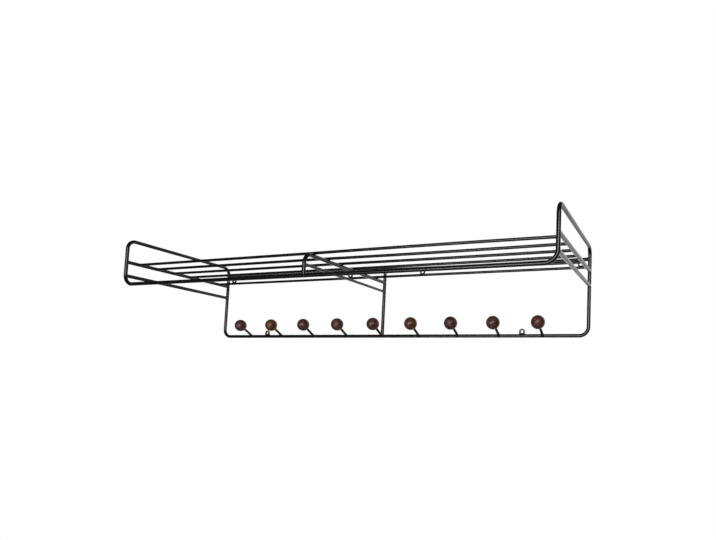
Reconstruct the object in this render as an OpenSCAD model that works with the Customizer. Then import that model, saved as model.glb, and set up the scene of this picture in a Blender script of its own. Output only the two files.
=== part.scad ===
// Wall hat rack of bent and welded round steel wire, with a wire shelf for hats
// and a row of wooden balls on short pegs below it.
// Lengths are in millimetres. +X is to the right seen from the front, +Z is up,
// and the wall's surface is the plane Y = 0, with the rack in front of it at -Y.
// The origin is on the wall, midway between the upper eyelets' holes.

/* [Overall size] */
// Width over the outer faces of the two ends
rack_w = 1000; // [860:10:1200]
// Depth from the wall to the front of the front rail
rack_d = 319; // [270:1:380]
// Height from under the bottom rail to the top of the ends
rack_h = 197; // [194:1:260]

/* [Wire thickness] */
// Closed loop of wire that makes the front rail, the ends and the bottom rail
frame_wire = 8; // [6:0.5:9]
// Two cross wires in each end
side_wire = 8; // [5:0.5:8]
// Upper rail at the wall and the post under it
back_wire = 8; // [5:0.5:8]
// Bent bracket under the middle of the shelf
bracket_wire = 8; // [5:0.5:8]
// Straight brace under the bracket
brace_wire = 6; // [4:0.5:7]
// Wires of the shelf
shelf_wire_d = 6; // [4:0.5:7]
// Pegs that carry the balls
peg_wire = 6; // [4:0.5:7]

/* [Heights above the centre of the bottom rail] */
// Front rail
front_rail_h = 87; // [75:1:95]
// Lower cross wire of each end
low_side_h = 107; // [102:1:114]
// Shelf wires and the cross wires that they end on
shelf_h = 138.5; // [135:0.5:145]
// Upper rail at the wall
back_rail_h = 164; // [156:0.5:166]
// Brace under the middle bracket
brace_h = 109.5; // [104:0.5:114]

/* [Shelf] */
// Front rail to the first shelf wire, between centres
shelf_front_inset = 32; // [20:1:45]
// Last shelf wire to the wires at the wall, between centres
shelf_back_inset = 36; // [20:1:50]
// How far the bracket's front foot stands to the left of the middle
bracket_aside = 4; // [0:0.5:6]

/* [Bends, radius to the centre of the wire] */
// Two lower corners at the wall
wall_bend = 19; // [16:1:40]
// Four upper corners of the ends
end_bend = 19; // [14:1:24]
// Two lower corners at the front
front_bend = 22; // [14:1:36]
// Front corner of the middle bracket
bracket_bend = 20; // [10:1:24]

/* [Pegs and balls] */
// Centre of an end's wire to the first peg beside it
peg_inset = 97.5; // [60:0.5:140]
// Diameter of a ball
ball_d = 30; // [24:0.5:40]
// Wall to the centre of a ball
ball_reach = 51; // [45:1:80]
// Centre of a ball above the centre of the bottom rail
ball_rise = 24; // [10:1:45]
// Depth of the hole in a ball, from its surface
ball_hole_depth = 18; // [10:1:20]

/* [Wall eyelets] */
// Hole for a wall screw
eyelet_hole = 6.5; // [4:0.5:8]
// Width of metal beside the hole
eyelet_rim = 3.25; // [2:0.25:4]
// Thickness of the plate, from the wall
eyelet_thick = 4; // [2:0.5:5]
// Centre of the hole to the edge of the rail that the eyelet is welded to
eyelet_drop = 5.6; // [5:0.1:8]
// Centre of an end's wire to the outer eyelet under the upper rail
outer_eyelet_inset = 19; // [14:1:150]
// Middle of the rack to the two inner eyelets under the upper rail
inner_eyelet_x = 101; // [60:1:200]
// Centre of an end's wire to the eyelet on the bottom rail
bottom_eyelet_inset = 145; // [130:1:160]

/* [Fits] */
// Gap left for the weld between two wires
weld_gap = 0.1; // [0.05:0.05:0.3]
// Clearance around and past the end of a peg in its ball
ball_fit = 0.05; // [0.05:0.05:0.2]

/* [Hidden] */
SHELF_WIRES = 6;
PEGS = 9;

$fn = 48;
LEFT = -1;
RIGHT = 1;
paint = "#2b2b2c";
stain = "#4a2e28";

// No wire is thicker than the wires that it ends on.
side_d = min(side_wire, frame_wire);
back_d = min(back_wire, frame_wire);
bracket_d = min(bracket_wire, back_d);
brace_d = min(brace_wire, bracket_d);
shelf_d = min(shelf_wire_d, side_d);
peg_d = min(peg_wire, frame_wire);

// The centre lines of the ends, of the wires at the wall and of the front rail.
end_x = rack_w / 2 - frame_wire / 2;
wall_y = -frame_wire / 2;
front_y = -rack_d + frame_wire / 2;

// The upper eyelets hang from the upper rail and set the height of the origin.
eyelet_d = eyelet_hole + 2 * eyelet_rim;
bottom_z = eyelet_drop + back_d / 2 - back_rail_h;
front_z = bottom_z + front_rail_h;
low_side_z = bottom_z + low_side_h;
shelf_z = bottom_z + shelf_h;
back_rail_z = bottom_z + back_rail_h;
brace_z = bottom_z + brace_h;
top_z = bottom_z + rack_h - frame_wire;

// The bracket carries the shelf wires on its top.
bracket_z = shelf_z - shelf_d / 2 - bracket_d / 2 - weld_gap;
bracket_run = norm([bracket_aside, front_y - wall_y]);
bottom_eyelet_z = bottom_z + frame_wire / 2 + eyelet_drop;

shelf_front_y = front_y + shelf_front_inset;
shelf_pitch = (wall_y - shelf_back_inset - shelf_front_y) / (SHELF_WIRES - 1);

outer_eyelet_x = end_x - outer_eyelet_inset;
bottom_eyelet_x = end_x - bottom_eyelet_inset;

// A peg points from the centre of the bottom rail to the centre of its ball.
peg_pitch = 2 * (end_x - peg_inset) / (PEGS - 1);
peg_run = [0, -ball_reach - wall_y, ball_rise];
peg_dir = peg_run / norm(peg_run);

// The corners of the closed loop, once round: front rail, right end, bottom rail, left end.
loop_corners = [
    [-end_x, front_y, front_z], [end_x, front_y, front_z],
    [end_x, front_y, top_z], [end_x, wall_y, top_z],
    [end_x, wall_y, bottom_z], [-end_x, wall_y, bottom_z],
    [-end_x, wall_y, top_z], [-end_x, front_y, top_z]];
loop_bends = [front_bend, front_bend, end_bend, end_bend,
              wall_bend, wall_bend, end_bend, end_bend];

function unit(v) = v / norm(v);

// Straight round wire between two points
module bar(from, to, d) {
    run = to - from;
    translate(from)
        rotate([0, acos(run.z / norm(run)), atan2(run.y, run.x)])
            cylinder(h = norm(run), d = d);
}

// Right-angled bend of radius r at a corner, between two directions of travel
module bend(corner, into, out, r, d) {
    centre = corner + r * (out - into);
    across = cross(into, out);
    multmatrix([[-out.x, into.x, across.x, centre.x],
                [-out.y, into.y, across.y, centre.y],
                [-out.z, into.z, across.z, centre.z],
                [0, 0, 0, 1]])
        rotate_extrude(angle = 90)
            translate([r, 0])
                circle(d = d);
}

// The loop's wire, at any thickness, so that other pieces can be cut to fit it
module loop_path(d) {
    n = len(loop_corners);
    for (i = [0 : n - 1]) {
        here = loop_corners[i];
        next = loop_corners[(i + 1) % n];
        before = loop_corners[(i + n - 1) % n];
        into = unit(here - before);
        out = unit(next - here);
        bend(here, into, out, loop_bends[i], d);
        bar(here + out * loop_bends[i], next - out * loop_bends[(i + 1) % n], d);
    }
}

module main_loop() {
    color(paint) loop_path(frame_wire);
}

// Room for the loop and its weld
module loop_room() {
    loop_path(frame_wire + 2 * weld_gap);
}

// Straight wires, which the welds' rooms then shorten to meet what they end on
module side_rail(side, z) {
    color(paint) difference() {
        bar([side * end_x, front_y, z], [side * end_x, wall_y, z], side_d);
        loop_room();
    }
}

module back_rail_wire(d) {
    bar([-end_x, wall_y, back_rail_z], [end_x, wall_y, back_rail_z], d);
}

module top_back_rail() {
    color(paint) difference() {
        back_rail_wire(back_d);
        loop_room();
    }
}

module post_wire(d) {
    bar([0, wall_y, bottom_z], [0, wall_y, back_rail_z], d);
}

module middle_post() {
    color(paint) difference() {
        post_wire(back_d);
        back_rail_wire(back_d + 2 * weld_gap);
        loop_room();
    }
}

// The bracket runs forward from the post and turns down onto the front rail. Its plane
// is turned a little about the post, and the brace lies in the same plane. In that
// plane the post is at Y = 0 and the bracket's front leg at Y = -bracket_run.
module turned_about_post() {
    translate([0, wall_y, 0])
        rotate([0, 0, -asin(bracket_aside / bracket_run)])
            children();
}

module bracket_path(d) {
    corner = [0, -bracket_run, bracket_z];
    turned_about_post() {
        bar([0, 0, bracket_z], corner + [0, bracket_bend, 0], d);
        bend(corner, [0, -1, 0], [0, 0, -1], bracket_bend, d);
        bar(corner - [0, 0, bracket_bend], [0, -bracket_run, front_z], d);
    }
}

module middle_bracket() {
    color(paint) difference() {
        bracket_path(bracket_d);
        post_wire(back_d + 2 * weld_gap);
        loop_room();
    }
}

module middle_brace() {
    color(paint) difference() {
        turned_about_post()
            bar([0, -bracket_run, brace_z], [0, 0, brace_z], brace_d);
        bracket_path(bracket_d + 2 * weld_gap);
        post_wire(back_d + 2 * weld_gap);
    }
}

module shelf_wire(i) {
    y = shelf_front_y + (i - 1) * shelf_pitch;
    room = side_d + 2 * weld_gap;
    color(paint) difference() {
        bar([-end_x, y, shelf_z], [end_x, y, shelf_z], shelf_d);
        for (side = [LEFT, RIGHT])
            bar([side * end_x, y - room, shelf_z], [side * end_x, y + room, shelf_z], room);
    }
}

function peg_foot(i) = [(i - (PEGS + 1) / 2) * peg_pitch, wall_y, bottom_z];
function ball_centre(i) = peg_foot(i) + peg_run;

// Distance from the centre of a ball, along its peg and away from the wall
function along_peg(i, distance) = ball_centre(i) + peg_dir * distance;

module peg(i) {
    end = ball_hole_depth - ball_d / 2 - ball_fit;
    color(paint) difference() {
        bar(peg_foot(i), along_peg(i, end), peg_d);
        loop_room();
        post_wire(back_d + 2 * weld_gap);
    }
}

module ball(i) {
    bottom = ball_hole_depth - ball_d / 2;
    color(stain) difference() {
        translate(ball_centre(i)) sphere(d = ball_d, $fn = 96);
        bar(along_peg(i, -ball_d), along_peg(i, bottom), peg_d + 2 * ball_fit);
    }
}

// Flat plate on the wall with a round end and a hole, cut at its foot to sit on its rail.
// The foot goes past the rail's edge to where the rail leaves room behind it.
module eyelet(x, z, rail_z, rail_wire) {
    way = z > rail_z ? 1 : -1;
    foot = rail_z + way * 0.3 * rail_wire;
    room = rail_wire + 2 * weld_gap;
    color(paint) difference() {
        union() {
            translate([x, 0, z]) rotate([90, 0, 0])
                cylinder(h = eyelet_thick, d = eyelet_d);
            translate([x - eyelet_d / 2, -eyelet_thick, min(z, foot)])
                cube([eyelet_d, eyelet_thick, abs(z - foot)]);
        }
        translate([x, 1, z]) rotate([90, 0, 0])
            cylinder(h = eyelet_thick + 2, d = eyelet_hole);
        bar([x - eyelet_d, wall_y, rail_z], [x + eyelet_d, wall_y, rail_z], room);
    }
}

module bottom_eyelet(side) {
    eyelet(side * bottom_eyelet_x, bottom_eyelet_z, bottom_z, frame_wire);
}

module top_eyelet(x) {
    eyelet(x, 0, back_rail_z, back_d);
}

main_loop();
side_rail(LEFT, shelf_z);  // mid_side_rail_left
side_rail(RIGHT, shelf_z);  // mid_side_rail_right
side_rail(LEFT, low_side_z);  // low_side_rail_left
side_rail(RIGHT, low_side_z);  // low_side_rail_right
top_back_rail();
middle_post();
middle_bracket();
middle_brace();
for (i = [1:SHELF_WIRES])
    shelf_wire(i);
for (i = [1:PEGS])
    peg(i);
for (i = [1:PEGS])
    ball(i);
bottom_eyelet(LEFT);  // eyelet_bottom_left
bottom_eyelet(RIGHT);  // eyelet_bottom_right
top_eyelet(-outer_eyelet_x);  // eyelet_top_outer_left
top_eyelet(outer_eyelet_x);  // eyelet_top_outer_right
top_eyelet(-inner_eyelet_x);  // eyelet_top_inner_left
top_eyelet(inner_eyelet_x);  // eyelet_top_inner_right
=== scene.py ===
"""Looks of a wall hat rack: bent and welded steel wire with black powder coat, and
turned beech balls, stained dark red-brown, on its pegs.

The file is laid out as an add-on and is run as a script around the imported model.
Everything is in metres, in the model's own frame: +X right seen from the front,
+Z up, and the wall at Y = 0 with the rack in front of it at -Y.
"""

import math

import bpy
import numpy as np
from mathutils import Matrix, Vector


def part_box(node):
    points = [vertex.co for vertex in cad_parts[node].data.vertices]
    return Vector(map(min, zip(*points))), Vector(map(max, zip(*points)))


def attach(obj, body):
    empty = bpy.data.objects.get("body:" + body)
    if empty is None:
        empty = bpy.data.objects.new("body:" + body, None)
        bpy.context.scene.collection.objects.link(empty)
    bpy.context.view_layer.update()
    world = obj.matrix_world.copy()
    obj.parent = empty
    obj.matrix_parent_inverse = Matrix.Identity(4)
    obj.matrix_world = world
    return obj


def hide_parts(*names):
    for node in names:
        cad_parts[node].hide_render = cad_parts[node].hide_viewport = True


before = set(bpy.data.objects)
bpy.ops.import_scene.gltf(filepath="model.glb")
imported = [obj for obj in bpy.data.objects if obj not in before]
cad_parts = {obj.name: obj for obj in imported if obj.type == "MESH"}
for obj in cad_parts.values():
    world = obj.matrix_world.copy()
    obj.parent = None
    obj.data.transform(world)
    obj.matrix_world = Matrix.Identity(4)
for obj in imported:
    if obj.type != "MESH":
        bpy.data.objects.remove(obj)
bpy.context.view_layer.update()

bl_info = {
    "name": "Wall hat rack",
    "version": (1, 0, 0),
    "blender": (4, 5, 0),
    "location": "3D View > Sidebar > Hat rack",
    "description": "Builds a wire hat rack with stained wooden balls around its packed model",
    "category": "Object",
}

MM = 0.001
BODY = "root"
X = np.array([1.0, 0.0, 0.0])
Y = np.array([0.0, 1.0, 0.0])
Z = np.array([0.0, 0.0, 1.0])
# No wire of the rack runs along this direction, so a ring's first spoke can be square to it.
OBLIQUE = np.array([0.62, 0.55, 0.56])
SIDES = {"left": -1, "right": 1}
SHELF_WIRES = 6
PEGS = 9
RING_SPACING = 25 * MM
# The skin is smooth except along edges that turn by more than this.
SHARP_TURN = math.radians(42)
EYELETS = [
    f"eyelet_{place}_{side}"
    for place in ("bottom", "top_outer", "top_inner")
    for side in SIDES
]


def linear(hex_colour):
    """Linear red, green and blue of an sRGB colour written as #rrggbb."""
    channels = np.array([int(hex_colour[i : i + 2], 16) for i in (1, 3, 5)]) / 255
    low = channels / 12.92
    high = ((channels + 0.055) / 1.055) ** 2.4
    return tuple(float(c) for c in np.where(channels <= 0.04045, low, high))


# Sizes from the frame


def corners_of(node):
    """Lowest and highest corner of a CAD node."""
    low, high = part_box(node)
    return np.array(low), np.array(high)


def middle(node):
    """Centre of a CAD node's box."""
    low, high = corners_of(node)
    return (low + high) / 2


def extent(node, axis):
    """Size of a CAD node's box along X, Y or Z, which is a straight wire's diameter."""
    low, high = corners_of(node)
    return float(high[axis] - low[axis])


def front_rail_height(diameter):
    """Height of the front rail's centre: half a wire above the loop's lowest point in front."""
    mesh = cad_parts["main_loop"].data
    points = np.zeros(len(mesh.vertices) * 3, np.float32)
    mesh.vertices.foreach_get("co", points)
    points = points.reshape(-1, 3)
    in_front = points[:, 1] < points[:, 1].min() + diameter
    return float(points[in_front, 2].min()) + diameter / 2


# Meshes


def unit(vectors):
    """The vectors at length 1."""
    return vectors / np.linalg.norm(vectors, axis=-1, keepdims=True)


def shell(rings, first_pole=None, last_pole=None):
    """Closed skin over an (m, n, 3) array of m rings of n points.

    Point j of ring i makes a four-sided face with its neighbours i + 1 and j + 1.
    A pole closes each end with a fan of triangles. With no poles the last ring
    joins the first. The skin is turned over if its signed volume, the sum of
    a . (b x c) over its triangles, is negative.
    """
    m, n = rings.shape[:2]
    points = rings.reshape(-1, 3)
    index = np.arange(m * n).reshape(m, n)
    beside = np.roll(index, -1, axis=1)
    if first_pole is None:
        index = np.vstack([index, index[:1]])
        beside = np.vstack([beside, beside[:1]])
        triangles = np.zeros((0, 3), int)
    else:
        points = np.vstack([points, first_pole, last_pole])
        start = np.stack([np.full(n, m * n), beside[0], index[0]], axis=-1)
        end = np.stack([np.full(n, m * n + 1), index[-1], beside[-1]], axis=-1)
        triangles = np.concatenate([start, end])
    quads = np.stack([index[:-1], beside[:-1], beside[1:], index[1:]], axis=-1)
    quads = quads.reshape(-1, 4)
    halves = np.concatenate([quads[:, [0, 1, 2]], quads[:, [0, 2, 3]], triangles])
    a, b, c = (points[halves[:, k]] for k in range(3))
    if np.sum(a * np.cross(b, c)) < 0:
        quads = quads[:, ::-1]
        triangles = triangles[:, ::-1]
    return points, quads, triangles


def joined(shells):
    """Several separate shells as one, with each one's point numbers moved past the last's."""
    counts = [len(points) for points, _, _ in shells]
    offsets = np.concatenate([[0], np.cumsum(counts)[:-1]])
    points = np.vstack([s[0] for s in shells])
    quads = np.vstack([s[1] + offset for s, offset in zip(shells, offsets)])
    triangles = np.vstack([s[2] + offset for s, offset in zip(shells, offsets)])
    return points, quads, triangles


def piece(name, skin, material, nodes=()):
    """A mesh object at the origin, smooth except at sharp edges, that stands for CAD nodes."""
    points, quads, triangles = skin
    mesh = bpy.data.meshes.new(name)
    mesh.vertices.add(len(points))
    mesh.vertices.foreach_set("co", points.astype(np.float32).ravel())
    corners = np.concatenate([quads.ravel(), triangles.ravel()]).astype(np.int32)
    sizes = np.repeat([4, 3], [len(quads), len(triangles)])
    starts = np.concatenate([[0], np.cumsum(sizes)[:-1]]).astype(np.int32)
    mesh.loops.add(len(corners))
    mesh.loops.foreach_set("vertex_index", corners)
    mesh.polygons.add(len(starts))
    mesh.polygons.foreach_set("loop_start", starts)
    mesh.update(calc_edges=True)
    mesh.shade_smooth()
    mesh.set_sharp_from_angle(angle=SHARP_TURN)
    if mesh.validate(verbose=True):
        raise RuntimeError(f"the mesh of {name} has a bad face")
    mesh.materials.append(material)
    thing = bpy.data.objects.new(name, mesh)
    bpy.context.scene.collection.objects.link(thing)
    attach(thing, BODY)
    if nodes:
        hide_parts(*nodes)
    return thing


def wire_piece(node, skin):
    """A painted wire that stands for the CAD node of the same name."""
    return piece("painted_" + node, skin, powder_coat(), [node])


def weld_piece(place, welds):
    """The painted welds of one part of the rack, which stand for no CAD node."""
    return piece("weld_beads_" + place, joined(welds), powder_coat())


# Wires


def straight(start, end):
    """Even points from start to end, and the direction at each."""
    count = max(2, int(round(np.linalg.norm(end - start) / RING_SPACING)) + 1)
    share = np.linspace(0, 1, count)[:, None]
    points = start + (end - start) * share
    return points, np.repeat(unit(end - start)[None], count, axis=0)


def sag(x, held):
    """Drop of a wire at x between the places where it is held.

    held lists (start, end, depth): a parabola, 4 depth s (1 - s) at a share s of the
    way from start to end. A depth below 0 is a rise.
    """
    drop = 0 * x
    for start, end, depth in held:
        share = np.clip((x - start) / (end - start), 0, 1)
        drop = drop + 4 * depth * share * (1 - share)
    return drop


def rounded(corners, radii, closed):
    """Centre line through corners that are square and rounded.

    A bend of radius r at corner C, from direction a to direction b, is
    C + r (b - a) + r (a sin t - b cos t), and its direction is a cos t + b sin t,
    for t from 0 to a quarter turn. Straight runs join the bends.
    """
    n = len(corners)
    rings_in_bend = 14
    turn = np.linspace(0, math.pi / 2, rings_in_bend)[:, None]
    points, directions = [], []
    for i in range(n if closed else n - 1):
        here, after = corners[i], corners[(i + 1) % n]
        ahead = unit(after - here)
        if radii[i]:
            back = unit(here - corners[i - 1])
            curve = back * np.sin(turn) - ahead * np.cos(turn)
            points.append(here + radii[i] * (ahead - back + curve))
            directions.append(back * np.cos(turn) + ahead * np.sin(turn))
        run, along = straight(here + ahead * radii[i], after - ahead * radii[(i + 1) % n])
        ends = slice(1 if radii[i] else 0, -1 if radii[(i + 1) % n] else None)
        points.append(run[ends])
        directions.append(along[ends])
    return np.vstack(points), np.vstack(directions)


def reach(offsets, direction, mate):
    """How far a wire's skin stops short of the centre of the round wire that it ends on.

    mate is that wire's (axis, radius). Its surface is at sqrt(radius^2 - v^2), where v
    is how far the skin's point is to the side of its axis.
    """
    if mate is None:
        return np.zeros(offsets.shape[:-1])
    axis, radius = mate
    aside = offsets @ np.cross(direction, axis)
    return np.sqrt(np.maximum(radius**2 - aside**2, 0))


def wire(path, directions, diameter, mates=(None, None), closed=False, sides=32):
    """Round wire along a path: ring i is P_i + radius (N_i cos a + B_i sin a).

    N is square to the path and to OBLIQUE, and B to both. An end that meets another
    wire is coped to it: its rings move along the path by reach(), less and less over
    the first straight run. Each end is closed by a smaller ring and a pole.
    """
    parallel = 0.999999
    across = unit(np.cross(directions, OBLIQUE))[:, None]
    up = np.cross(directions[:, None], across)
    angle = np.linspace(0, 2 * math.pi, sides, endpoint=False)[None, :, None]
    offsets = (across * np.cos(angle) + up * np.sin(angle)) * diameter / 2
    if closed:
        return shell(path[:, None] + offsets)
    count = len(path)
    row = np.concatenate([[0], np.arange(count), [count - 1]])
    size = np.concatenate([[0.5], np.ones(count), [0.5]])[:, None, None]
    path, directions, offsets = path[row], directions[row], offsets[row] * size
    rings = path[:, None] + offsets
    poles = [path[0], path[-1]]
    for end, mate in enumerate(mates):
        way = directions[-end] * (1 - 2 * end)
        gone = np.abs((path - path[-end]) @ way)
        same = np.abs(directions @ directions[-end]) > parallel
        run = gone[same].max()
        share = np.where(same & (gone <= run), 1 - gone / run, 0)[:, None]
        shift = reach(offsets, way, mate) * share
        rings = rings + shift[..., None] * way
        poles[end] = poles[end] + way * (mate[1] if mate else 0)
    return shell(rings, poles[0], poles[1])


def straight_wire(start, end, diameter, mates=(None, None), sides=32):
    """Straight round wire between the centre lines of the two wires that it ends on."""
    points, directions = straight(start, end)
    return wire(points, directions, diameter, mates, sides=sides)


def weld(centre, way, diameter, mate, seed):
    """Fillet of weld round the foot of a wire that stands on another.

    Round the wire by angle a, the fillet's section is a hollow quarter circle from the
    wire's side, one leg up, to the other wire's surface, one leg out, closed inside the
    metal. The leg swells and shrinks a little with a, and it shrinks where the
    other wire's side falls away. Where that leaves no room, the fillet sinks in.
    """
    leg = bpy.context.scene.hat_rack_sizes.weld_leg
    least_leg, overlap, sink = 0.02 * MM, 0.04 * MM, 0.1 * MM
    axis, radius = mate
    widest, lowest = 0.97 * radius, 0.15 * radius
    side = np.cross(way, axis)
    angle = np.linspace(0, 2 * math.pi, 40, endpoint=False)
    swell = 1 + 0.09 * np.sin(3 * angle + seed) + 0.06 * np.sin(7 * angle + 2.3 * seed)
    room = widest / np.maximum(np.abs(np.sin(angle)), 0.05) - diameter / 2
    size = np.clip(np.minimum(leg * swell, room), least_leg, None)
    turn = np.linspace(0, math.pi / 2, 6)
    # The last two points, in legs from the corner between the wires, lie in the metal.
    out = np.concatenate([1 - np.cos(turn), [0.3, -0.35]])
    high = np.concatenate([1 - np.sin(turn), [-0.3, 0.3]])
    sunk = np.where(room < 0, sink, 0)
    far = diameter / 2 - overlap + np.outer(size, out) - sunk[:, None]
    aside = far * np.sin(angle)[:, None]
    surface = np.sqrt(np.maximum(radius**2 - aside**2, lowest**2))
    height = surface - overlap + np.outer(size, high)
    flat = np.cos(angle)[:, None, None] * axis + np.sin(angle)[:, None, None] * side
    return shell(centre + far[..., None] * flat + height[..., None] * way)


def bead(centre, half_sizes):
    """Small rounded bead of weld: an ellipsoid, half_sizes times the unit sphere."""
    rise = np.linspace(-math.pi / 2, math.pi / 2, 13)[1:-1, None]
    angle = np.linspace(0, 2 * math.pi, 24, endpoint=False)[None]
    level = np.ones_like(angle)
    sphere = np.stack(
        [np.cos(rise) * np.cos(angle), np.cos(rise) * np.sin(angle), np.sin(rise) * level],
        axis=-1,
    )
    tip = np.array([0, 0, half_sizes[2]])
    return shell(centre + sphere * half_sizes, centre - tip, centre + tip)


def turned(profile, centre, axis):
    """Surface of revolution: profile rows (along, out) go round the axis through centre.

    The first and the last row lie on the axis and are the poles.
    """
    sides = 64
    across = unit(np.cross(axis, OBLIQUE))
    up = np.cross(axis, across)
    angle = np.linspace(0, 2 * math.pi, sides, endpoint=False)[None, :, None]
    spokes = across * np.cos(angle) + up * np.sin(angle)
    along, out = profile[:, 0], profile[:, 1]
    rings = centre + along[:, None, None] * axis + out[:, None, None] * spokes
    return shell(rings[1:-1], centre + along[0] * axis, centre + along[-1] * axis)


# Materials


def add(tree, kind, inputs=(), **settings):
    """Adds a node, sets its own settings, and gives its inputs a value or a link."""
    made = tree.nodes.new(kind)
    for key, value in settings.items():
        setattr(made, key, value)
    for key, value in dict(inputs).items():
        if isinstance(value, bpy.types.NodeSocket):
            tree.links.new(value, made.inputs[key])
        else:
            made.inputs[key].default_value = value
    return made


def ramp(tree, value, stops):
    """Colour ramp of (place, linear colour) stops."""
    made = add(tree, "ShaderNodeValToRGB", {"Fac": value})
    elements = made.color_ramp.elements
    elements[0].position, elements[1].position = stops[0][0], stops[-1][0]
    elements[0].color, elements[1].color = (*stops[0][1], 1), (*stops[-1][1], 1)
    for place, colour in stops[1:-1]:
        elements.new(place).color = (*colour, 1)
    return made.outputs["Color"]


def new_material(name):
    """New material, and its node tree, which is empty."""
    material = bpy.data.materials.new(name)
    material.use_nodes = True
    tree = material.node_tree
    tree.nodes.clear()
    return material, tree


def white_share(tree, to_camera, to_mirrors):
    """Share of plain white that a ray finds, and 0 for rays that only light things.

    One share is for the camera's own rays, and one for rays by way of a shine or glass.
    """
    rays = add(tree, "ShaderNodeLightPath").outputs
    mirrored = add(
        tree,
        "ShaderNodeMath",
        {0: rays["Is Glossy Ray"], 1: rays["Is Transmission Ray"]},
        operation="MAXIMUM",
    )
    shown = add(
        tree,
        "ShaderNodeMath",
        {0: mirrored.outputs["Value"], 1: to_mirrors},
        operation="MULTIPLY",
    )
    share = add(
        tree,
        "ShaderNodeMath",
        {0: rays["Is Camera Ray"], 1: to_camera, 2: shown.outputs["Value"]},
        operation="MULTIPLY_ADD",
    )
    return share.outputs["Value"]


def powder_coat():
    """Black powder coat on steel wire, satin.

    Powder that was sprayed on and baked flows to a film about 0.08 mm thick. It gives
    the eye a deep black with a soft sheen, slightly uneven. Its pebbles, 1 to 2 mm
    across as on orange peel, are so shallow that they only break up the shine a little.
    """
    name = "satin_black_powder_coat_on_steel"
    if name in bpy.data.materials:
        return bpy.data.materials[name]
    finish = bpy.context.scene.hat_rack_finish
    material, tree = new_material(name)
    place = add(tree, "ShaderNodeTexCoord").outputs["Object"]
    # Dust and handling leave patches a few centimetres long a shade lighter.
    patches = add(
        tree,
        "ShaderNodeTexNoise",
        {"Vector": place, "Scale": 1 / (30 * MM), "Detail": 3.0, "Roughness": 0.55},
    )
    colour = ramp(
        tree,
        patches.outputs["Fac"],
        [(0.35, finish.paint), (0.75, [1.35 * c for c in finish.paint])],
    )
    sheen = add(
        tree,
        "ShaderNodeMapRange",
        {
            "Value": patches.outputs["Fac"],
            "From Min": 0.3,
            "From Max": 0.7,
            "To Min": finish.paint_roughness - 0.04,
            "To Max": finish.paint_roughness + 0.05,
        },
    )
    pebbles = add(
        tree,
        "ShaderNodeTexNoise",
        {"Vector": place, "Scale": 1 / (1.6 * MM), "Detail": 1.0, "Roughness": 0.4},
    )
    skin = add(
        tree,
        "ShaderNodeBump",
        {"Height": pebbles.outputs["Fac"], "Strength": 0.02, "Distance": 0.06 * MM},
    )
    shader = add(
        tree,
        "ShaderNodeBsdfPrincipled",
        {
            "Base Color": colour,
            "Roughness": sheen.outputs["Result"],
            "IOR": 1.5,
            "Normal": skin.outputs["Normal"],
        },
    )
    add(tree, "ShaderNodeOutputMaterial", {"Surface": shader.outputs["BSDF"]})
    return material


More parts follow.
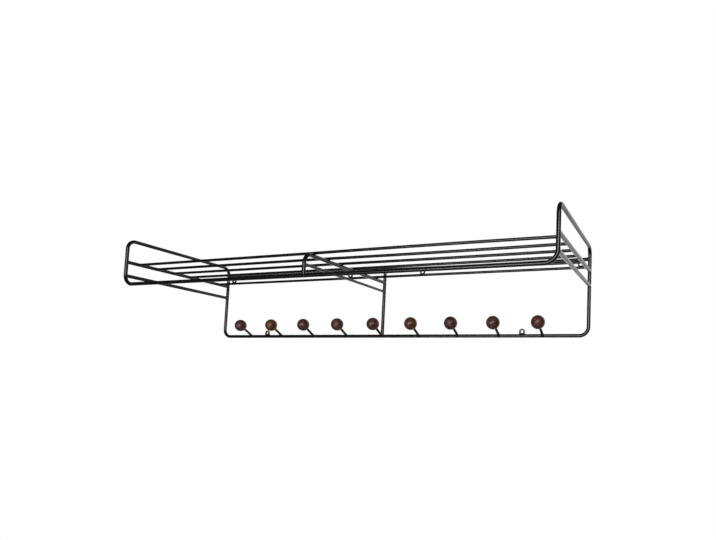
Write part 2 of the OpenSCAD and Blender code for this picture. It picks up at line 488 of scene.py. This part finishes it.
def stained_beech():
    """Turned beech with a dark red-brown stain under satin lacquer.

    Stain sinks unevenly into beech, so it gives the eye soft blotches 5 to 8 mm across
    over faint bands of growth 2.5 mm apart, with fine short flecks along the grain.
    The lacquer, tinted by the stain, adds a soft warm highlight. Each ball has its own
    piece of the plank in the attribute grain, its own tone, cool to warm, and its own
    sheen, in the attribute dull.
    """
    name = "stained_beech_satin_lacquer"
    if name in bpy.data.materials:
        return bpy.data.materials[name]
    finish = bpy.context.scene.hat_rack_finish
    material, tree = new_material(name)
    grain = add(tree, "ShaderNodeAttribute", attribute_name="grain").outputs["Vector"]
    tone = add(tree, "ShaderNodeAttribute", attribute_name="tone").outputs["Fac"]
    dull = add(tree, "ShaderNodeAttribute", attribute_name="dull").outputs["Fac"]
    blotches = add(
        tree,
        "ShaderNodeTexNoise",
        {"Vector": grain, "Scale": 1 / (7 * MM), "Detail": 3.0, "Roughness": 0.6},
    )
    # A band's place is 20 x scale x distance, and one band takes a whole turn of it.
    bands = add(
        tree,
        "ShaderNodeTexWave",
        {
            "Vector": grain,
            "Scale": 2 * math.pi / (20 * 2.5 * MM),
            "Distortion": 2.5,
            "Detail": 2.0,
            "Detail Scale": 0.6,
        },
        wave_type="RINGS",
        rings_direction="Z",
    )
    long = add(tree, "ShaderNodeMapping", {"Vector": grain, "Scale": (1, 1, 0.13)})
    fibres = add(
        tree,
        "ShaderNodeTexNoise",
        {
            "Vector": long.outputs["Vector"],
            "Scale": 1 / (0.5 * MM),
            "Detail": 2.0,
            "Roughness": 0.6,
        },
    )
    # The stain's depth is 0.62 of blotches, 0.14 of bands and 0.24 of fibres.
    depth = add(
        tree,
        "ShaderNodeMath",
        {0: blotches.outputs["Fac"], 1: 0.62},
        operation="MULTIPLY",
    )
    with_bands = add(
        tree,
        "ShaderNodeMath",
        {0: bands.outputs["Fac"], 1: 0.14, 2: depth.outputs["Value"]},
        operation="MULTIPLY_ADD",
    )
    with_fibres = add(
        tree,
        "ShaderNodeMath",
        {0: fibres.outputs["Fac"], 1: 0.24, 2: with_bands.outputs["Value"]},
        operation="MULTIPLY_ADD",
    )
    stain = ramp(
        tree,
        with_fibres.outputs["Value"],
        [(0.4, finish.stain_dark), (0.5, finish.stain), (0.62, finish.stain_light)],
    )
    warm_stain = ramp(
        tree,
        with_fibres.outputs["Value"],
        [
            (0.4, [0.45 * c for c in finish.stain_warm]),
            (0.62, [1.3 * c for c in finish.stain_warm]),
        ],
    )
    # Inputs 6 and 7 of a mix are its two colours, and output 2 is the mixed one.
    colour = add(
        tree,
        "ShaderNodeMix",
        {0: tone, 6: stain, 7: warm_stain},
        data_type="RGBA",
    )
    relief = add(
        tree,
        "ShaderNodeBump",
        {"Height": fibres.outputs["Fac"], "Strength": 0.35, "Distance": 0.05 * MM},
    )
    rough = add(
        tree,
        "ShaderNodeMapRange",
        {
            "Value": blotches.outputs["Fac"],
            "From Min": 0.3,
            "From Max": 0.7,
            "To Min": finish.wood_roughness - 0.05,
            "To Max": finish.wood_roughness + 0.06,
        },
    )
    worn = add(
        tree, "ShaderNodeMath", {0: rough.outputs["Result"], 1: dull}, operation="ADD"
    )
    shader = add(
        tree,
        "ShaderNodeBsdfPrincipled",
        {
            "Base Color": colour.outputs[2],
            "Roughness": worn.outputs["Value"],
            "IOR": 1.5,
            "Normal": relief.outputs["Normal"],
            "Specular Tint": (*linear("#ffd8d2"), 1),
            "Specular IOR Level": 0.52,
        },
    )
    add(tree, "ShaderNodeOutputMaterial", {"Surface": shader.outputs["BSDF"]})
    return material


def painted_floor(reach_out):
    """Grey matt painted floor, which gives the eye a soft shadow of the rack.

    The camera sees it paled towards the white of the background, and all white far out.
    Paint and lacquer mirror it as white from a few metres behind the rack, and as grey
    elsewhere.
    """
    pale_near, white_far = 0.3 * reach_out, 0.66 * reach_out
    least_white = 0.55
    grey_behind, white_behind = 1.0, 3.0
    material, tree = new_material("grey_matt_painted_floor")
    place = add(tree, "ShaderNodeTexCoord").outputs["Object"]
    mottle = add(
        tree,
        "ShaderNodeTexNoise",
        {"Vector": place, "Scale": 1.5, "Detail": 4.0, "Roughness": 0.5},
    )
    grey = ramp(
        tree,
        mottle.outputs["Fac"],
        [(0.3, linear("#848483")), (0.7, linear("#8c8c8a"))],
    )
    paint = add(
        tree, "ShaderNodeBsdfPrincipled", {"Base Color": grey, "Roughness": 0.75}
    )
    far = add(tree, "ShaderNodeVectorMath", {0: place}, operation="LENGTH")
    fade = add(
        tree,
        "ShaderNodeMapRange",
        {
            "Value": far.outputs["Value"],
            "From Min": pale_near,
            "From Max": white_far,
            "To Min": least_white,
        },
        interpolation_type="SMOOTHSTEP",
    )
    depth = add(tree, "ShaderNodeSeparateXYZ", {"Vector": place}).outputs["Y"]
    behind = add(
        tree,
        "ShaderNodeMapRange",
        {"Value": depth, "From Min": grey_behind, "From Max": white_behind},
        interpolation_type="SMOOTHSTEP",
    )
    share = white_share(tree, fade.outputs["Result"], behind.outputs["Result"])
    white = add(tree, "ShaderNodeEmission", {"Color": (1, 1, 1, 1), "Strength": 1.0})
    mix = add(
        tree,
        "ShaderNodeMixShader",
        {0: share, 1: paint.outputs["BSDF"], 2: white.outputs["Emission"]},
    )
    add(tree, "ShaderNodeOutputMaterial", {"Surface": mix.outputs["Shader"]})
    return material


# Sizes and colours to change


def length(name, description, **limits):
    """A length that a user can change, with its default and its limits in metres."""
    return bpy.props.FloatProperty(
        name=name, description=description, unit="LENGTH", **limits
    )


def tint(name, description, hex_colour):
    """A colour that a user can change. Its default is an sRGB hex value."""
    return bpy.props.FloatVectorProperty(
        name=name,
        description=description,
        default=linear(hex_colour),
        min=0,
        max=1,
        subtype="COLOR",
    )


class HatRackSizes(bpy.types.PropertyGroup):
    """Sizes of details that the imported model's boxes don't give."""

    frame_wire: length(
        "Frame wire", "Diameter of the closed loop's wire", default=8 * MM, min=4 * MM
    )
    wall_bend: length(
        "Wall bend",
        "Radius of the two lower corners at the wall, to the wire's centre",
        default=19 * MM,
        min=8 * MM,
    )
    end_bend: length(
        "End bend",
        "Radius of the four upper corners of the ends, to the wire's centre",
        default=19 * MM,
        min=8 * MM,
    )
    front_bend: length(
        "Front bend",
        "Radius of the two lower corners in front, to the wire's centre",
        default=22 * MM,
        min=8 * MM,
    )
    bracket_bend: length(
        "Bracket bend",
        "Radius of the middle bracket's corner, to the wire's centre",
        default=20 * MM,
        min=6 * MM,
    )
    front_sag: length(
        "Front rail's sag",
        "Drop of the front rail's middle, as in the photograph",
        default=0.45 * MM,
        min=0,
        max=2 * MM,
    )
    left_sag: length(
        "Upper rail's sag, left",
        "Drop of the upper rail at the wall, left of the post",
        default=0.5 * MM,
        min=0,
        max=2 * MM,
    )
    right_sag: length(
        "Upper rail's sag, right",
        "Drop of the upper rail at the wall, right of the post",
        default=1.75 * MM,
        min=0,
        max=2 * MM,
    )
    weld_leg: length(
        "Weld leg",
        "Size of the weld's fillet in the corner between two wires",
        default=1.2 * MM,
        min=0.3 * MM,
    )
    ball_hole: length(
        "Ball hole", "Diameter of the blind hole in a ball", default=6.1 * MM, min=3 * MM
    )
    ball_hole_depth: length(
        "Ball hole depth",
        "Depth of the blind hole from the ball's surface",
        default=18 * MM,
        min=5 * MM,
    )
    eyelet_hole: length(
        "Eyelet hole", "Diameter of the hole for a wall screw", default=6.5 * MM, min=3 * MM
    )


class HatRackFinish(bpy.types.PropertyGroup):
    """Colours and sheen of the paint and of the wood."""

    paint: tint("Paint", "Colour of the powder coat", "#090909")
    paint_roughness: bpy.props.FloatProperty(
        name="Paint roughness",
        description="0 is a mirror and 1 is matt",
        default=0.24,
        min=0.1,
        max=0.9,
        subtype="FACTOR",
    )
    stain_dark: tint("Dark stain", "Colour where the stain sank in most", "#261719")
    stain: tint("Stain", "Colour of most of the wood", "#3c2728")
    stain_light: tint("Light stain", "Colour where the stain is thin", "#634640")
    stain_warm: tint("Warm stain", "Colour that the warmer balls lean to", "#643c18")
    wood_roughness: bpy.props.FloatProperty(
        name="Wood roughness",
        description="Roughness of the lacquer on the wood",
        default=0.33,
        min=0.15,
        max=0.9,
        subtype="FACTOR",
    )


class HatRackStage(bpy.types.PropertyGroup):
    """Floor and light."""

    floor_drop: length(
        "Floor", "Height of the upper eyelets above the floor", default=1.75, min=0.5
    )
    room_light: bpy.props.FloatProperty(
        name="Room light",
        description="Strength of the light that comes from all round",
        default=0.05,
        min=0,
    )
    softbox_power: bpy.props.FloatProperty(
        name="Softbox",
        description="Power of the long soft light in front of the rack",
        default=118.0,
        min=0,
        unit="POWER",
    )
    backlight_power: bpy.props.FloatProperty(
        name="Backlight",
        description="Power of the dim panel of light behind the rack",
        default=2.5,
        min=0,
        unit="POWER",
    )


# Where the wires run


def loop_lines():
    """Centre lines of the closed loop's ends (x), wall and front (y), and heights (z)."""
    sizes = bpy.context.scene.hat_rack_sizes
    half = sizes.frame_wire / 2
    low, high = corners_of("main_loop")
    return {
        "end": float(high[0]) - half,
        "wall": float(high[1]) - half,
        "front": float(low[1]) + half,
        "bottom": float(low[2]) + half,
        "top": float(high[2]) - half,
        "rail": front_rail_height(sizes.frame_wire),
    }


def front_rail_drop(x):
    """How far the front rail hangs below its level at x."""
    sizes = bpy.context.scene.hat_rack_sizes
    end = loop_lines()["end"] - sizes.front_bend
    return sag(x, [(-end, end, sizes.front_sag)])


def upper_rail_drop(x):
    """How far the upper rail at the wall hangs below its level at x."""
    sizes = bpy.context.scene.hat_rack_sizes
    end = loop_lines()["end"]
    return sag(x, [(-end, 0, sizes.left_sag), (0, end, sizes.right_sag)])


def frame_mate(axis):
    """What a wire meets where it ends on the closed loop."""
    return axis, bpy.context.scene.hat_rack_sizes.frame_wire / 2


# Operators


class HATRACK_OT_stage(bpy.types.Operator):
    """Adds the floor, the white background, the two panels of light and the camera"""

    bl_idname = "hat_rack.stage"
    bl_label = "Stage"

    def execute(self, context):
        scene = context.scene
        settings = scene.hat_rack_stage
        scene.view_settings.view_transform = "Standard"
        self.floor(scene, settings.floor_drop)
        self.background(scene, settings.room_light)
        # The long softbox's right end is tilted up, so its image runs aslant over each
        # ball and lights the uprights as well as the level wires.
        self.panel(
            "softbox",
            size=(4.4, 0.9),
            place=(0.42, -3.1, -0.1),
            tilt=32,
            power=settings.softbox_power,
        )
        # The ends' wires are seen at a grazing angle. They mirror this dim panel, which
        # stands before the white of the background.
        self.panel(
            "backlight",
            size=(3.0, 2.4),
            place=(0.3, 3.0, 0),
            tilt=0,
            power=settings.backlight_power,
        )
        self.camera(scene)
        return {"FINISHED"}

    def floor(self, scene, drop):
        """A level disc with its middle under the origin: points round a circle."""
        reach_out, sides = 6.0, 64
        angle = np.linspace(0, 2 * math.pi, sides, endpoint=False)
        circle = np.stack([np.cos(angle), np.sin(angle), 0 * angle], axis=-1)
        mesh = bpy.data.meshes.new("floor")
        mesh.from_pydata(circle * reach_out - Z * drop, [], [list(range(sides))])
        mesh.materials.append(painted_floor(reach_out))
        disc = bpy.data.objects.new("floor", mesh)
        scene.collection.objects.link(disc)

    def background(self, scene, dim):
        """White to the camera all round. The rack itself stands in a dim room."""
        world = bpy.data.worlds.new("studio")
        scene.world = world
        world.use_nodes = True
        tree = world.node_tree
        tree.nodes.clear()
        direction = add(tree, "ShaderNodeTexCoord").outputs["Generated"]
        behind = add(tree, "ShaderNodeSeparateXYZ", {"Vector": direction}).outputs["Y"]
        # Paint and lacquer mirror the white background where the camera looks, near +Y.
        backdrop = add(
            tree,
            "ShaderNodeMapRange",
            {"Value": behind, "From Min": 0.5, "From Max": 0.8},
            interpolation_type="SMOOTHSTEP",
        )
        share = white_share(tree, 1.0, backdrop.outputs["Result"])
        strength = add(tree, "ShaderNodeMath", {0: share, 1: dim}, operation="MAXIMUM")
        light = add(
            tree,
            "ShaderNodeBackground",
            {"Color": (1, 1, 1, 1), "Strength": strength.outputs["Value"]},
        )
        add(tree, "ShaderNodeOutputWorld", {"Surface": light.outputs["Background"]})

    def panel(self, name, size, place, tilt, power):
        """Even panel of light of a size (m), turned to the middle of the rack."""
        lamp = bpy.data.lights.new(name, "AREA")
        lamp.shape = "RECTANGLE"
        lamp.size, lamp.size_y = size
        lamp.energy = power
        box = bpy.data.objects.new(name, lamp)
        towards = middle("main_loop") - place
        box.matrix_world = self.aimed(place, towards, tilt)
        box.visible_camera = False
        bpy.context.scene.collection.objects.link(box)

    def aimed(self, place, towards, tilt):
        """Matrix that puts an object at a place, its -Z along a direction, its +X tilted up."""
        back = unit(-towards)
        level = unit(np.cross(Z, back))
        angle = math.radians(tilt)
        right = math.cos(angle) * level + math.sin(angle) * np.cross(back, level)
        return self.posed(place, right, np.cross(back, right), back)

    def posed(self, place, right, up, back):
        """Matrix that puts an object at a place, its +X, +Y and +Z along three directions."""
        matrix = np.eye(4)
        matrix[:3, :3] = np.stack([right, up, back], axis=-1)
        matrix[:3, 3] = place
        return Matrix(matrix.tolist())

    def camera(self, scene):
        """The photograph's view, from the right and below the shelf.

        Its place, directions, lens and shift were solved from the rack's straight wires.
        """
        data = bpy.data.cameras.new("camera")
        data.sensor_width = 36.0
        data.lens = 28.866
        data.shift_x = -0.1387
        data.shift_y = 0.1092
        data.clip_start = 0.05
        data.clip_end = 60.0
        right = unit(np.array([0.9260, 0.3756, 0.0374]))
        ahead = unit(np.array([-0.3774, 0.9230, 0.0756]))
        up = np.cross(right, ahead)
        right = np.cross(ahead, up)
        place = (0.6973, -1.2235, -0.2825)
        camera = bpy.data.objects.new("camera", data)
        camera.matrix_world = self.posed(place, right, up, -ahead)
        scene.collection.objects.link(camera)
        scene.camera = camera


class HATRACK_OT_main_loop(bpy.types.Operator):
    """Sweeps the closed loop of wire: front rail, both ends and bottom rail"""

    bl_idname = "hat_rack.main_loop"
    bl_label = "Main loop"

    def execute(self, context):
        at = loop_lines()
        sizes = context.scene.hat_rack_sizes
        end = at["end"]
        corners = np.array(
            [
                (-end, at["front"], at["rail"]),
                (end, at["front"], at["rail"]),
                (end, at["front"], at["top"]),
                (end, at["wall"], at["top"]),
                (end, at["wall"], at["bottom"]),
                (-end, at["wall"], at["bottom"]),
                (-end, at["wall"], at["top"]),
                (-end, at["front"], at["top"]),
            ]
        )
        front, top, wall = sizes.front_bend, sizes.end_bend, sizes.wall_bend
        radii = [front, front, top, top, wall, wall, top, top]
        path, directions = rounded(corners, radii, closed=True)
        close = 0.01 * MM
        along_rail = path[:, 1] < at["front"] + close
        along_rail &= path[:, 2] < at["rail"] + close
        path[along_rail, 2] -= front_rail_drop(path[along_rail, 0])
        skin = wire(path, directions, sizes.frame_wire, closed=True, sides=40)
        wire_piece("main_loop", skin)
        return {"FINISHED"}


class HATRACK_OT_end_rails(bpy.types.Operator):
    """Adds the two cross wires of each end, coped to the uprights, with their welds"""

    bl_idname = "hat_rack.end_rails"
    bl_label = "End rails"

    def execute(self, context):
        at = loop_lines()
        mate = frame_mate(Z)
        welds = []
        for level in ("mid", "low"):
            for side, sign in SIDES.items():
                node = f"{level}_side_rail_{side}"
                height = middle(node)[2]
                diameter = extent(node, 0)
                start = np.array([sign * at["end"], at["front"], height])
                end = np.array([sign * at["end"], at["wall"], height])
                skin = straight_wire(start, end, diameter, (mate, mate))
                wire_piece(node, skin)
                for place, way in ((start, Y), (end, -Y)):
                    welds.append(weld(place, way, diameter, mate, len(welds)))
        weld_piece("ends", welds)
        return {"FINISHED"}


class HATRACK_OT_wall_wires(bpy.types.Operator):
    """Adds the upper rail at the wall and the post under it, with their welds"""

    bl_idname = "hat_rack.wall_wires"
    bl_label = "Wires at the wall"

    def execute(self, context):
        at = loop_lines()
        rail_height = middle("top_back_rail")[2]
        rail = extent("top_back_rail", 2)
        left = np.array([-at["end"], at["wall"], rail_height])
        right = left * (-1, 1, 1)
        upright = frame_mate(Z)
        path, directions = straight(left, right)
        path[:, 2] -= upper_rail_drop(path[:, 0])
        wire_piece("top_back_rail", wire(path, directions, rail, (upright, upright)))

        post = extent("middle_post", 0)
        foot = np.array([0, at["wall"], at["bottom"]])
        head = np.array([0, at["wall"], rail_height])
        mates = (frame_mate(X), (X, rail / 2))
        wire_piece("middle_post", straight_wire(foot, head, post, mates))
        welds = [
            weld(left, X, rail, upright, 1),
            weld(right, -X, rail, upright, 2),
            weld(foot, Z, post, mates[0], 3),
            weld(head, -Z, post, mates[1], 4),
        ]
        weld_piece("wall", welds)
        return {"FINISHED"}


class HATRACK_OT_middle_bracket(bpy.types.Operator):
    """Adds the bent bracket under the shelf wires and its thin brace, with their welds"""

    bl_idname = "hat_rack.middle_bracket"
    bl_label = "Middle bracket"

    # Half sizes of the bead where a shelf wire lies on the bracket.
    SPOT_WELD = np.array([1.9, 1.9, 1.0]) * MM

    def execute(self, context):
        at = loop_lines()
        sizes = context.scene.hat_rack_sizes
        low, high = corners_of("middle_bracket")
        diameter = 2 * (at["front"] - float(low[1]))
        height = float(high[2]) - diameter / 2
        post = (Z, extent("middle_post", 0) / 2)
        rail = frame_mate(X)
        # The bracket's plane is turned a little, so its front foot is left of the middle.
        back = np.array([0, at["wall"], height])
        corner = np.array([low[0] + diameter / 2, at["front"], height])
        foot = np.array([corner[0], at["front"], at["rail"] - front_rail_drop(corner[0])])
        ahead = unit(corner - back)
        path, directions = rounded(
            np.array([back, corner, foot]), [0, sizes.bracket_bend, 0], closed=False
        )
        wire_piece("middle_bracket", wire(path, directions, diameter, (post, rail)))

        thin = extent("middle_brace", 2)
        lower = Z * (middle("middle_brace")[2] - height)
        leg = (Z, diameter / 2)
        skin = straight_wire(corner + lower, back + lower, thin, (leg, post), sides=24)
        wire_piece("middle_brace", skin)
        welds = [
            weld(back, ahead, diameter, post, 5),
            weld(foot, Z, diameter, rail, 6),
            weld(corner + lower, -ahead, thin, leg, 7),
            weld(back + lower, ahead, thin, post, 8),
        ]
        for i in range(1, SHELF_WIRES + 1):
            share = (middle(f"shelf_wire_{i}")[1] - back[1]) / (corner[1] - back[1])
            touch = back + (corner - back) * share + Z * diameter / 2
            welds.append(bead(touch, self.SPOT_WELD))
        weld_piece("bracket", welds)
        return {"FINISHED"}


class HATRACK_OT_shelf_wires(bpy.types.Operator):
    """Adds the shelf's wires, coped to the cross wires of the ends, with their welds"""

    bl_idname = "hat_rack.shelf_wires"
    bl_label = "Shelf wires"

    # Millimetres by which each wire sags (or, below 0, bows up) between the bracket and
    # its right end, and by which that end stands up. No photographed wire is straight.
    SAGS = (-0.7, 0.8, 0.5, 0, 0, 0)
    LIFTS = (0, 0, 0, 1.3, 0, 0)

    def execute(self, context):
        end = loop_lines()["end"]
        mate = (Y, extent("mid_side_rail_left", 0) / 2)
        welds = []
        for i in range(1, SHELF_WIRES + 1):
            node = f"shelf_wire_{i}"
            diameter = extent(node, 2)
            centre = middle(node) * (0, 1, 1)
            path, directions = straight(centre - X * end, centre + X * end)
            path[:, 2] -= sag(path[:, 0], [(0, end, self.SAGS[i - 1] * MM)])
            path[:, 2] += self.LIFTS[i - 1] * MM * np.clip(path[:, 0] / end, 0, 1) ** 8
            left, right = path[0], path[-1]
            wire_piece(node, wire(path, directions, diameter, (mate, mate), sides=24))
            for place, way in ((left, X), (right, -X)):
                welds.append(weld(place, way, diameter, mate, len(welds)))
        weld_piece("shelf", welds)
        return {"FINISHED"}


class HATRACK_OT_pegs(bpy.types.Operator):
    """Adds the pegs on the bottom rail, each up to the end of its ball's hole"""

    bl_idname = "hat_rack.pegs"
    bl_label = "Pegs"

    # Between a peg's end and the end of its hole.
    GLUE_GAP = 0.05 * MM

    def execute(self, context):
        at = loop_lines()
        sizes = context.scene.hat_rack_sizes
        mate = frame_mate(X)
        welds = []
        for i in range(1, PEGS + 1):
            node, ball = f"peg_{i}", f"ball_{i}"
            diameter = extent(node, 0)
            centre = middle(ball)
            foot = np.array([centre[0], at["wall"], at["bottom"]])
            way = unit(centre - foot)
            past = sizes.ball_hole_depth - extent(ball, 0) / 2 - self.GLUE_GAP
            tip = centre + way * past
            wire_piece(node, straight_wire(foot, tip, diameter, (mate, None), sides=24))
            welds.append(weld(foot, way, diameter, mate, i))
        weld_piece("pegs", welds)
        return {"FINISHED"}


class HATRACK_OT_balls(bpy.types.Operator):
    """Turns the wooden balls, each with its blind hole and its own piece of grain"""

    bl_idname = "hat_rack.balls"
    bl_label = "Balls"

    # From the left: each ball's share of the warm stain, and its added roughness.
    TONES = (0.1, 0.6, 0.1, 0.15, 0.15, 0.4, 0.0, 0.2, 0.25)
    DULL = (0.08, 0.02, 0.03, 0.14, 0.05, 0.0, 0.14, 0.0, 0.0)

    def execute(self, context):
        at = loop_lines()
        sizes = context.scene.hat_rack_sizes
        for i in range(1, PEGS + 1):
            node = f"ball_{i}"
            centre = middle(node)
            foot = np.array([centre[0], at["wall"], at["bottom"]])
            axis = unit(foot - centre)
            radius = extent(node, 0) / 2
            section = self.half_section(
                radius, sizes.ball_hole / 2, sizes.ball_hole_depth
            )
            skin = turned(section, centre, axis)
            ball = piece("turned_" + node, skin, stained_beech(), [node])
            self.cut_from_plank(ball, centre, axis, i)
        return {"FINISHED"}

    def half_section(self, radius, hole, depth):
        """Half section from the far pole round the ball, over the hole's eased lip and in.

        The ball is (radius cos t, radius sin t). Rows are along the peg's axis, towards
        the wall, and out from it.
        """
        lip = 0.35 * MM
        mouth = math.asin((hole + lip) / radius)
        t = np.linspace(math.pi, mouth, 44)
        ball = np.stack([radius * np.cos(t), radius * np.sin(t)], axis=-1)
        edge = radius * math.cos(mouth)
        turn = np.linspace(0.35, 1, 4) * math.pi / 2
        eased = np.stack(
            [edge - lip * (1 - np.cos(turn)), hole + lip * (1 - np.sin(turn))], axis=-1
        )
        bottom = radius - depth
        bore = np.stack([np.linspace(edge - 2 * lip, bottom, 5), np.full(5, hole)], axis=-1)
        floor = np.array([[bottom, hole / 2], [bottom, 0]])
        return np.vstack([ball, eased, bore, floor])

    def cut_from_plank(self, ball, centre, axis, number):
        """Stores each point's place in the plank that the ball was cut from.

        Its third direction is the grain, a little off the hole's axis, and the first is
        out from the tree's middle, 50 to 110 mm away, so growth bands are nearly flat.
        """
        mesh = ball.data
        points = np.zeros(len(mesh.vertices) * 3, np.float32)
        mesh.vertices.foreach_get("co", points)
        points = points.reshape(-1, 3) - centre
        golden_angle = math.pi * (3 - math.sqrt(5))
        roll = golden_angle * number
        lean = 0.25 * math.sin(1.7 * number)
        side = unit(np.cross(axis, X))
        grain = unit(axis + lean * (math.cos(roll) * X + math.sin(roll) * side))
        out = unit(np.cross(grain, math.sin(roll) * X - math.cos(roll) * side))
        turn = np.stack([out, np.cross(grain, out), grain])
        away = np.array([80 + 30 * math.sin(2.1 * number), 13 * number, 47 * number]) * MM
        place = points @ turn.T + away
        stored = mesh.attributes.new("grain", "FLOAT_VECTOR", "POINT")
        stored.data.foreach_set("vector", place.astype(np.float32).ravel())
        for name, values in (("tone", self.TONES), ("dull", self.DULL)):
            each = mesh.attributes.new(name, "FLOAT", "POINT")
            same = np.full(len(points), values[number - 1], np.float32)
            each.data.foreach_set("value", same)


class HATRACK_OT_eyelets(bpy.types.Operator):
    """Adds the plates for the wall screws, and the weld that holds each to its rail"""

    bl_idname = "hat_rack.eyelets"
    bl_label = "Eyelets"

    # Half sizes of the bead along the rail, and its place beside the rail's centre line
    # and before the plate.
    BEAD = np.array([6.2, 0.9, 0.9]) * MM
    ASIDE = 3.9 * MM
    BEFORE = 0.1 * MM

    def execute(self, context):
        at = loop_lines()
        hole = context.scene.hat_rack_sizes.eyelet_hole / 2
        beads = []
        for node in EYELETS:
            low, high = corners_of(node)
            round_end, thick = extent(node, 0) / 2, extent(node, 1)
            if "bottom" in node:
                rail, top, way = at["bottom"], high[2], 1
            else:
                rail, top, way = middle("top_back_rail")[2], low[2], -1
                rail -= upper_rail_drop((low[0] + high[0]) / 2)
            centre = np.array([(low[0] + high[0]) / 2, high[1], top - way * round_end])
            foot = extent(node, 2) - round_end
            outline = self.outline(round_end, foot) * (1, way)
            wire_piece(node, self.plate(centre, outline, hole, thick))
            touch = np.array([centre[0], -thick - self.BEFORE, rail + way * self.ASIDE])
            beads.append(bead(touch, self.BEAD))
        weld_piece("eyelets", beads)
        return {"FINISHED"}

    def outline(self, radius, foot):
        """Half circle (radius cos t, radius sin t) over straight sides down to the foot."""
        turn = np.linspace(0, math.pi, 33)[:, None]
        share = np.linspace(0, 1, 9)[1:, None]
        dome = radius * np.hstack([np.cos(turn), np.sin(turn)])
        left = np.hstack([0 * share - radius, -foot * share])
        base = np.hstack([radius * (2 * share - 1), 0 * share - foot])
        right = np.hstack([0 * share + radius, -foot * (1 - share)])
        return np.vstack([dome, left, base, right[:-1]])

    def plate(self, centre, outline, hole, thick):
        """Flat plate with a round hole, its front edges eased.

        A closed section runs from the hole to the outline along each spoke from the
        hole's centre. Its corners are quarter circles: large in front, small at the wall.
        """
        turn = np.linspace(0, math.pi / 2, 5)
        front, back = 0.5 * MM, 0.15 * MM
        corners = [
            (back, back, 0, back, math.pi),
            (thick - front, front, 0, front, 1.5 * math.pi),
            (thick - front, -front, 1, front, 0),
            (back, -back, 1, back, 0.5 * math.pi),
        ]
        depth = np.concatenate([d + r * np.cos(t + turn) for d, _, _, r, t in corners])
        inset = np.concatenate([i + r * np.sin(t + turn) for _, i, _, r, t in corners])
        outer = np.repeat([far for _, _, far, _, _ in corners], len(turn))
        size = np.linalg.norm(outline, axis=1, keepdims=True)
        out = hole + (size - hole) * outer + inset
        spoke = outline / size
        spokes = spoke[:, :1] * X + spoke[:, 1:] * Z
        rings = centre + out[..., None] * spokes[:, None] - depth[None, :, None] * Y
        return shell(rings)


class HATRACK_PT_panel(bpy.types.Panel):
    """Lists the hat rack's steps, sizes and colours"""

    bl_idname = "HATRACK_PT_panel"
    bl_label = "Hat rack"
    bl_space_type = "VIEW_3D"
    bl_region_type = "UI"
    bl_category = "Hat rack"

    def draw(self, context):
        for step in STEPS:
            self.layout.operator(step.bl_idname)
        scene = context.scene
        for group in (scene.hat_rack_sizes, scene.hat_rack_finish, scene.hat_rack_stage):
            for name in group.__annotations__:
                self.layout.prop(group, name)


GROUPS = {
    "hat_rack_sizes": HatRackSizes,
    "hat_rack_finish": HatRackFinish,
    "hat_rack_stage": HatRackStage,
}
STEPS = (
    HATRACK_OT_stage,
    HATRACK_OT_main_loop,
    HATRACK_OT_end_rails,
    HATRACK_OT_wall_wires,
    HATRACK_OT_middle_bracket,
    HATRACK_OT_shelf_wires,
    HATRACK_OT_pegs,
    HATRACK_OT_balls,
    HATRACK_OT_eyelets,
)


def register():
    for kind in (*GROUPS.values(), *STEPS, HATRACK_PT_panel):
        bpy.utils.register_class(kind)
    for name, group in GROUPS.items():
        setattr(bpy.types.Scene, name, bpy.props.PointerProperty(type=group))


def unregister():
    for name in GROUPS:
        delattr(bpy.types.Scene, name)
    for kind in (HATRACK_PT_panel, *reversed(STEPS), *reversed(GROUPS.values())):
        bpy.utils.unregister_class(kind)


def main():
    """Builds everything in order."""
    register()
    for step in STEPS:
        group, name = step.bl_idname.split(".")
        getattr(getattr(bpy.ops, group), name)()


if __name__ == "__main__":
    main()
